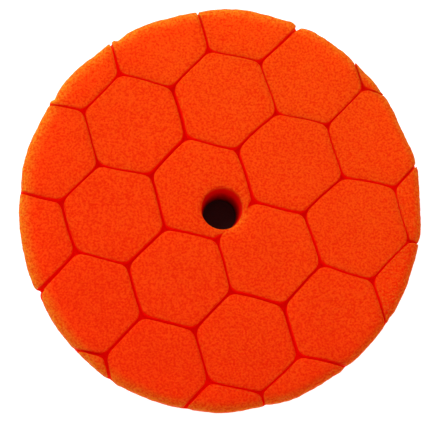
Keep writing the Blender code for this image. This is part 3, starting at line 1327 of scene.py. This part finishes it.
@dataclass(frozen=True)
class KnitCloth:
    """Black warp-knitted nylon: fine ribs of stitches, dull, with a soft dark sheen."""

    dark: str = "#0C0C0E"
    light: str = "#2A2A2E"
    wale: float = 0.9 * MM
    course: float = 0.7 * MM
    stitch_depth: float = 0.2 * MM
    stitch_strength: float = 0.8

    def material(self) -> bpy.types.Material:
        """Build the cloth's nodes.

        Returns:
            The material.
        """
        material, tree, shader = new_material("black_warp_knit_nylon")
        place = add_node(tree, "TexCoord").outputs["Object"]
        waves = []
        for bands, spacing, wobble in (("X", self.wale, 1.0), ("Y", self.course, 1.5)):
            rows = {"Scale": 2.0 / (math.tau * spacing), "Distortion": wobble, "Detail": 1.0}
            rows["Vector"] = place
            waves.append(add_node(tree, "TexWave", rows, bands_direction=bands).outputs["Fac"])
        knit = add_node(tree, "Math", dict(enumerate(waves)), operation="MULTIPLY").outputs[0]
        tint = {MIX_FACTOR: knit, MIX_A: linear(self.dark), MIX_B: linear(self.light)}
        bump = {"Height": knit, "Strength": self.stitch_strength, "Distance": self.stitch_depth}
        finish = {
            "Base Color": add_node(tree, "Mix", tint, data_type="RGBA").outputs[MIX_RESULT],
            "Normal": add_node(tree, "Bump", bump).outputs[0],
            "Roughness": 0.85,
            "Sheen Weight": 0.3,
            "Sheen Roughness": 0.5,
            "IOR": NYLON_IOR,
        }
        plug(tree, shader, finish)
        return material


@dataclass(frozen=True)
class LoopYarn:
    """Black multifilament nylon yarn: a faint gloss along each loop and slightly uneven dye."""

    dark: str = "#0D0D0F"
    light: str = "#55555C"
    dye_patch: float = 2.5 * MM

    def material(self) -> bpy.types.Material:
        """Build the yarn's nodes.

        Returns:
            The material.
        """
        material, tree, shader = new_material("black_nylon_loop_yarn")
        dye = {"Scale": 1.0 / self.dye_patch, "Detail": 2.0}
        dye["Vector"] = add_node(tree, "TexCoord").outputs["Object"]
        tint = {MIX_FACTOR: add_node(tree, "TexNoise", dye).outputs["Fac"]}
        tint |= {MIX_A: linear(self.dark), MIX_B: linear(self.light)}
        finish = {
            "Base Color": add_node(tree, "Mix", tint, data_type="RGBA").outputs[MIX_RESULT],
            "Roughness": 0.55,
            "Sheen Weight": 0.25,
            "Sheen Roughness": 0.4,
            "IOR": NYLON_IOR,
        }
        plug(tree, shader, finish)
        return material


@dataclass
class Backing:
    """The film, cloth and loops bonded to the foam's back."""

    radius: float
    loop_foot: float
    cloth_low: float
    cloth_high: float
    film_low: float
    film_high: float
    seed: int = 5

    # The discs: their edge's and their faces' unevenness, and over what length both vary
    film_overhang: float = 0.2 * MM
    film_waves: Span = (0.12 * MM, 0.008 * MM)
    cloth_waves: Span = (0.15 * MM, 0.006 * MM)
    edge_wave_length: float = 4.0 * MM
    face_wave_length: float = 7.0 * MM
    edge_inset: float = 0.3 * MM

    # The pile
    loop_pitch: float = 1.68 * MM
    loop_width: float = 1.15 * MM
    yarn_radius: float = 0.11 * MM
    root: float = 0.1 * MM
    foot_scatter: float = 0.17 * MM
    lean: float = 0.25 * MM
    turn: float = 0.35
    turn_scatter: float = 0.5
    edge_turn_scatter: float = 0.2
    least_height: float = 0.8
    width_scatter: float = 0.2
    edge_ring_inset: float = 0.75 * MM
    pile_inset: float = 1.5 * MM

    ROUND_STEPS = 240
    FACE_ROWS = 22
    BEND_ROWS = 7
    EDGE_LOOPS = 480
    YARN_STEPS = 7
    YARN_SIDES = 3

    def disc(self, name: str, radius: float, heights: Span, waves: Span) -> bpy.types.Object:
        """Make a thin disc with a rounded, slightly uneven edge.

        The profile runs from the middle of the underside out, round a half circle, and back in over
        the top. The rows of the faces lie at even shares to the power 0.8. The radius gains a ripple
        near the edge, and the heights gain one all over.

        Args:
            name: the object's name.
            radius: its radius.
            heights: the heights of its underside and its top.
            waves: how uneven its edge is, and how uneven its faces are.

        Returns:
            The disc.
        """
        low, high = heights
        half = (high - low) / 2.0
        bend = np.linspace(-math.pi / 2.0, math.pi / 2.0, self.BEND_ROWS)
        inner = np.linspace(0.0, 1.0, self.FACE_ROWS)[1:] ** 0.8 * (radius - self.edge_inset - half)
        reach = np.concatenate([inner, radius - half + half * np.cos(bend), inner[::-1]])[:, None]
        flat = np.ones(len(inner))
        height = np.concatenate([low * flat, (low + high) / 2.0 + half * np.sin(bend), high * flat])
        plan = reach[..., None] * heading(math.tau / self.ROUND_STEPS * np.arange(self.ROUND_STEPS))
        near_edge = smoothstep((reach - radius) / self.edge_wave_length + 1.0)
        edge_wave = waves[0] * near_edge * Ripple(self.seed, self.edge_wave_length).at(plan)
        plan = plan * (1.0 + edge_wave / radius)[..., None]
        height = height[:, None] + waves[1] * Ripple(self.seed + 1, self.face_wave_length).at(plan)
        shell = Shell()
        first = shell.add(np.concatenate([plan, height[..., None]], axis=-1))
        shell.faces.append(grid_faces(len(reach), self.ROUND_STEPS, first))
        ends = shell.add(np.array([[0.0, 0.0, low], [0.0, 0.0, high]]))
        ring = first + np.arange(self.ROUND_STEPS)
        shell.faces.append(fan_faces(ring, ends)[:, ::-1])
        shell.faces.append(fan_faces(ring + (len(reach) - 1) * self.ROUND_STEPS, ends + 1))
        return shell.built(name)

    def build_film(self) -> bpy.types.Object:
        """Build the adhesive film, which is the dark floor of the hole.

        Returns:
            The film's object.
        """
        heights = (self.film_low, self.film_high)
        film = self.disc("adhesive_film", self.radius + self.film_overhang, heights, self.film_waves)
        adopt(film, HotMeltFilm().material(), "hot_melt_film")
        return film

    def build_cloth(self) -> bpy.types.Object:
        """Build the ground cloth that carries the loops.

        Returns:
            The cloth's object.
        """
        heights = (self.cloth_low, self.cloth_high)
        cloth = self.disc("ground_cloth", self.radius, heights, self.cloth_waves)
        adopt(cloth, KnitCloth().material(), "backing_cloth")
        return cloth

    def feet(self, rng: np.random.Generator, edge_turns: np.ndarray) -> np.ndarray:
        """Lay out the loops: rows over the cloth, every other one half a step on, then an edge ring.

        Args:
            rng: where the scatter comes from.
            edge_turns: directions of the edge ring's loops.

        Returns:
            (loops, 2) places, the edge ring's last.
        """
        count = math.ceil(self.radius / self.loop_pitch) + 1
        steps = np.arange(-count, count + 1)
        row, step = (axis.reshape(-1) for axis in np.meshgrid(steps, steps, indexing="ij"))
        rows = self.loop_pitch * np.stack([row, step + 0.5 * (row % 2)], axis=-1)
        rows = rows + rng.normal(0.0, self.foot_scatter, rows.shape)
        rows = rows[np.linalg.norm(rows, axis=1) < self.radius - self.pile_inset]
        return np.concatenate([rows, (self.radius - self.edge_ring_inset) * heading(edge_turns)])

    def yarn_lines(self) -> tuple[np.ndarray, np.ndarray]:
        """Work out the middle line of each loop's yarn.

        A loop's line, for a share t from 0 to 1, runs across by half its width times the cosine of
        pi t, and bulges by up to 0.3 of that in the middle. It runs down by its height times the sine
        of pi t to the power 0.7, and leans a little as it goes down, half as much at the edge.

        Returns:
            (loops, steps, 3) places, and (loops, 2) unit vectors square to the plane of each loop.
        """
        rng = np.random.default_rng(self.seed)
        edge_turns = math.tau / self.EDGE_LOOPS * np.arange(self.EDGE_LOOPS)
        feet = self.feet(rng, edge_turns)
        turns = rng.normal(self.turn, self.turn_scatter, len(feet))
        edge_scatter = rng.normal(0.0, self.edge_turn_scatter, self.EDGE_LOOPS)
        turns[-self.EDGE_LOOPS :] = edge_turns + math.pi / 2.0 + edge_scatter
        along = heading(turns)
        widest = 1.0 + self.width_scatter
        width = self.loop_width * rng.uniform(2.0 - widest, widest, len(feet))
        root = self.cloth_low + self.root
        height = (root - self.loop_foot) * rng.uniform(self.least_height, 1.0, len(feet))
        lean = rng.normal(0.0, self.lean, feet.shape)
        lean[-self.EDGE_LOOPS :] *= 0.5
        half_turns = np.linspace(0.0, math.pi, self.YARN_STEPS)
        sweep = 0.5 * np.cos(half_turns) * (1.0 + 0.3 * np.sin(half_turns))
        fall = np.maximum(np.sin(half_turns), 0.0) ** 0.7
        plan = feet[:, None] + (width[:, None] * sweep)[..., None] * along[:, None]
        plan = plan + fall[:, None] * lean[:, None]
        level = root - (height[:, None] - self.yarn_radius) * fall
        lines = np.concatenate([plan, level[..., None]], axis=-1)
        return lines, np.stack([-along[:, 1], along[:, 0]], axis=-1)

    def build_loops(self) -> bpy.types.Object:
        """Build the pile: small yarn loops that hang from the cloth.

        Each ring of a loop lies square to its line, at the yarn's radius along two vectors that are
        square to the line and to each other.

        Returns:
            The pile's object.
        """
        lines, square = self.yarn_lines()
        ahead = np.gradient(lines, axis=1)
        ahead /= np.linalg.norm(ahead, axis=-1, keepdims=True)
        second = np.cross(ahead, np.insert(square, 2, 0.0, axis=1)[:, None])
        second /= np.linalg.norm(second, axis=-1, keepdims=True)
        first = np.cross(second, ahead)
        spokes = math.tau / self.YARN_SIDES * np.arange(self.YARN_SIDES)
        around = np.cos(spokes)[:, None] * first[:, :, None]
        around = around + np.sin(spokes)[:, None] * second[:, :, None]
        shell = Shell()
        shell.add(lines[:, :, None] + self.yarn_radius * around)
        size = self.YARN_STEPS * self.YARN_SIDES
        starts = size * np.arange(len(lines))[:, None, None]
        start_cap = np.arange(self.YARN_SIDES)
        caps = np.stack([start_cap[::-1], start_cap + size - self.YARN_SIDES])
        for faces in (grid_faces(self.YARN_STEPS, self.YARN_SIDES), caps):
            shell.faces.append((faces + starts).reshape(-1, faces.shape[1]))
        pile = shell.built("loop_yarn_pile")
        adopt(pile, LoopYarn().material(), "loop_pile")
        return pile


# ---------------------------------------------------------------- the studio


@dataclass
class Studio:
    """A pale floor, soft light and the camera."""

    # The camera, and how far its aim is moved right and up
    distance: float = 1.5
    azimuth: float = math.radians(-20.5)
    elevation: float = math.radians(82.8)
    roll: float = math.radians(-0.16)
    aside: tuple[float, float] = (-1.19 * MM, -3.43 * MM)
    view_width: float = 163.1 * MM
    sensor: float = 36.0
    clip: Span = (0.05, 50.0)

    # The floor: it glows from the ring outwards and not under the pad, which leaves a painted contact
    # shadow round the pad's foot
    floor_grey: float = 0.35
    floor_glow: float = 0.95
    painted_shadow_ring: Span = (63.0 * MM, 71.0 * MM)
    floor_radius: float = 30.0
    floor_steps: int = 96

    # The light
    sky: float = 0.46
    lamp_place: tuple[float, float, float] = (-0.52, 0.65, 1.05)
    lamp_size: float = 0.8
    lamp_power: float = 14.6

    def build_camera(self, target: Vector) -> None:
        """Set the camera up above the pad, tilted a little, with +Y kept upright in its view.

        Args:
            target: the point it is aimed at before it moves aside.
        """
        flat = math.cos(self.elevation)
        side, front = math.sin(self.azimuth) * flat, -math.cos(self.azimuth) * flat
        back = Vector((side, front, math.sin(self.elevation)))
        level = Vector((0.0, 1.0, 0.0)).cross(back).normalized()
        right = Matrix.Rotation(self.roll, 3, back) @ level
        upward = back.cross(right)
        target = target + self.aside[0] * right + self.aside[1] * upward
        data = bpy.data.cameras.new("studio_camera")
        data.sensor_width = self.sensor
        data.lens = self.sensor * self.distance / self.view_width
        data.clip_start, data.clip_end = self.clip
        camera = bpy.data.objects.new("studio_camera", data)
        turn = Matrix((right, upward, back)).transposed()
        camera.matrix_world = Matrix.Translation(target + back * self.distance) @ turn.to_4x4()
        bpy.context.scene.collection.objects.link(camera)
        bpy.context.scene.camera = camera

    def floor_material(self) -> bpy.types.Material:
        """Build pale matt board, lit by its own glow so that it shows pure white, except under the pad,
        where the missing glow is a painted contact shadow.

        Returns:
            The material.
        """
        material, tree, shader = new_material("pale_matt_board")
        place = add_node(tree, "TexCoord").outputs["Object"]
        away = add_node(tree, "VectorMath", {0: place}, operation="LENGTH").outputs["Value"]
        # painted shadow: the glow rises from nothing under the pad to full across this ring
        span = {"From Min": self.painted_shadow_ring[0], "From Max": self.painted_shadow_ring[1], "To Max": self.floor_glow}
        glow = add_node(tree, "MapRange", {"Value": away, **span}, interpolation_type="SMOOTHSTEP")
        finish = {
            "Base Color": (self.floor_grey, self.floor_grey, self.floor_grey, 1.0),
            "Roughness": 0.9,
            "Specular IOR Level": 0.1,
            "Emission Color": (1.0, 1.0, 1.0, 1.0),
            "Emission Strength": glow.outputs[0],
        }
        plug(tree, shader, finish)
        return material

    def build_floor(self) -> None:
        """Lay the floor: a disc so wide that its edge is never seen."""
        ring = self.floor_radius * heading(math.tau / self.floor_steps * np.arange(self.floor_steps))
        mesh = bpy.data.meshes.new("studio_floor")
        mesh.from_pydata(np.insert(ring, 2, 0.0, axis=1), [], [list(range(self.floor_steps))])
        floor = bpy.data.objects.new("studio_floor", mesh)
        bpy.context.scene.collection.objects.link(floor)
        mesh.materials.append(self.floor_material())
        floor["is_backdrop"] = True

    def build_lamp(self, target: Vector) -> None:
        """Hang a square soft lamp.

        Args:
            target: the point that it faces.
        """
        data = bpy.data.lights.new("key_softbox", "AREA")
        data.energy, data.size = self.lamp_power, self.lamp_size
        lamp = bpy.data.objects.new("key_softbox", data)
        place = Vector(self.lamp_place)
        aim = (place - target).to_track_quat("Z", "Y")
        lamp.matrix_world = Matrix.Translation(place) @ aim.to_matrix().to_4x4()
        bpy.context.scene.collection.objects.link(lamp)

    def build(self, target: Vector) -> None:
        """Set up the sky, the floor, the lamp and the camera.

        Args:
            target: the point that the lamp and the camera face.
        """
        world = bpy.data.worlds.new("soft_room")
        world.use_nodes = True
        sky = {"Color": (1.0, 1.0, 1.0, 1.0), "Strength": self.sky}
        plug(world.node_tree, world.node_tree.nodes["Background"], sky)
        bpy.context.scene.world = world
        bpy.context.scene.view_settings.view_transform = "Standard"
        self.build_floor()
        self.build_lamp(target)
        self.build_camera(target)


def main() -> None:
    """Build the pad's looks piece by piece, and report each piece."""
    logging.basicConfig(level=logging.INFO, format="%(name)s: %(message)s", stream=sys.stdout)
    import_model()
    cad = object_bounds()
    boxes = (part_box(name) for name in ("foam_pad", "hot_melt_film", "backing_cloth"))
    (_, foam_high), (film_low, film_high), (cloth_low, cloth_high) = boxes
    backing = Backing(
        radius=cloth_high.x,
        loop_foot=cad[0].z,
        cloth_low=cloth_low.z,
        cloth_high=film_low.z - FILM_DROP - BOND_GAP,
        film_low=film_low.z - FILM_DROP,
        film_high=film_high.z,
    )
    foam = FoamBody(face_radius=foam_high.x, top=foam_high.z, bottom=film_high.z + BOND_GAP)
    for build in (foam.build, backing.build_film, backing.build_loops, backing.build_cloth):
        report(build())
    Studio().build(Vector((0.0, 0.0, cad[1].z)))


if __name__ == "__main__":
    main()
